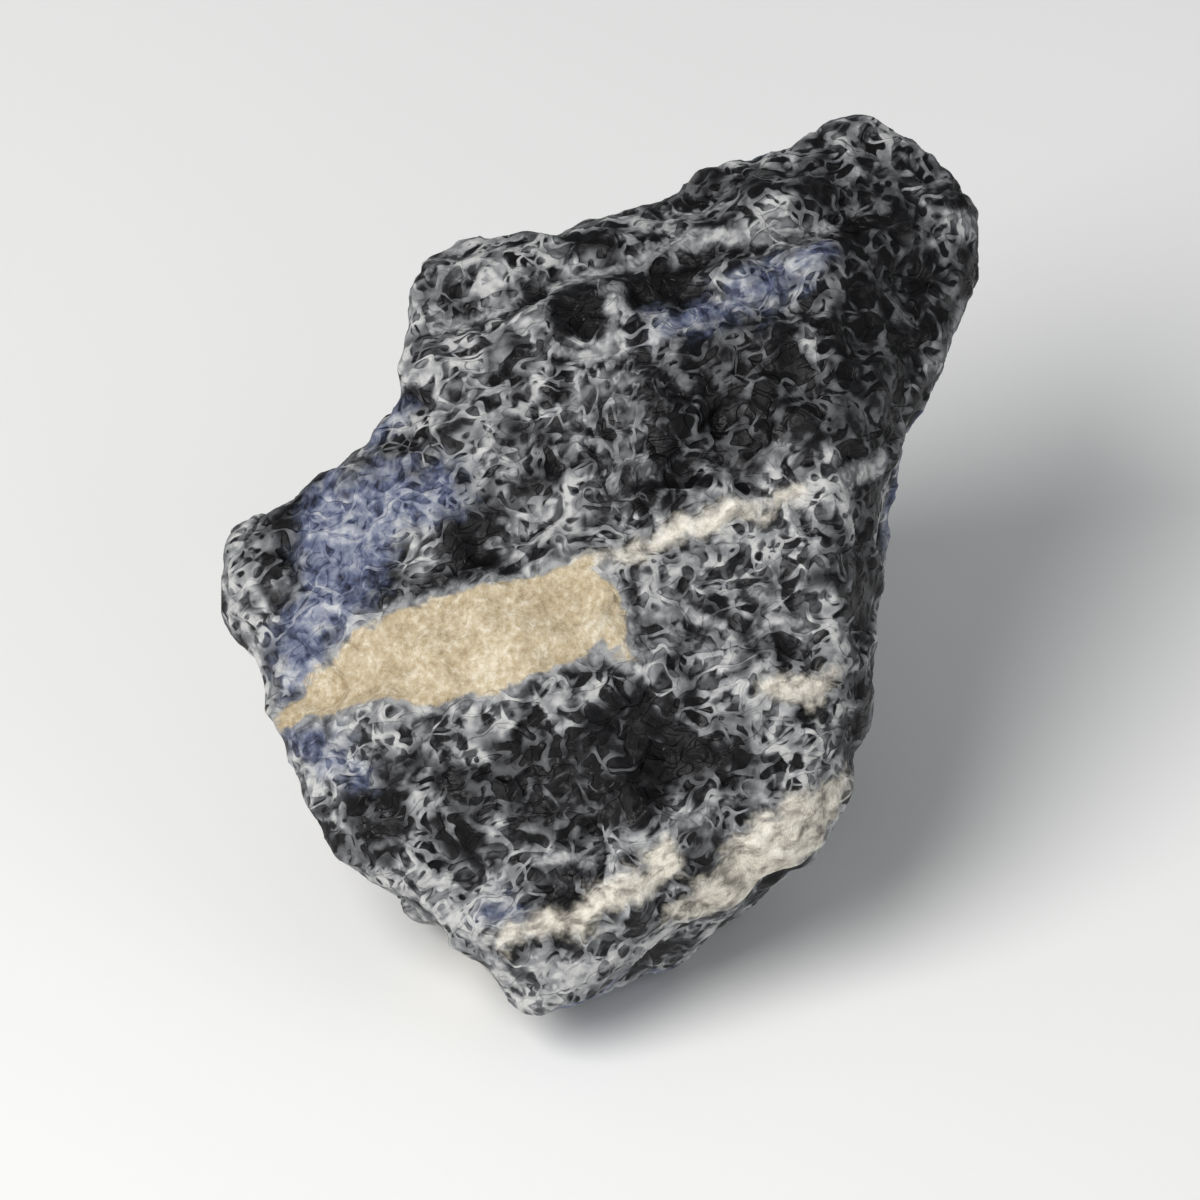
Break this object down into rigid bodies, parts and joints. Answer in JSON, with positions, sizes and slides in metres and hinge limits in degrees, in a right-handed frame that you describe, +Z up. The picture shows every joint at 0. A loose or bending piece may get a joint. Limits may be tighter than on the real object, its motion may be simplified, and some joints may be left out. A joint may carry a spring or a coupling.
{
  "type": "rough sodalite stone",
  "caption": "Rough broken lump of charcoal and royal blue rock with a cream band and a net of pale veins, resting on a small flat spot.",
  "frame": {"origin": "middle of the bounding box on the surface that the stone rests on", "axes": "+Z up from the resting spot, -Y towards the broad front face with the cream band, +X to the right when that face is looked at"},
  "size_m": [0.0468, 0.0474, 0.0381],
  "materials": {
    "sodalite": "rough"
  },
  "bodies": {
    "root": {"sodalite_stone": "sodalite"}
  },
  "joints": []
}
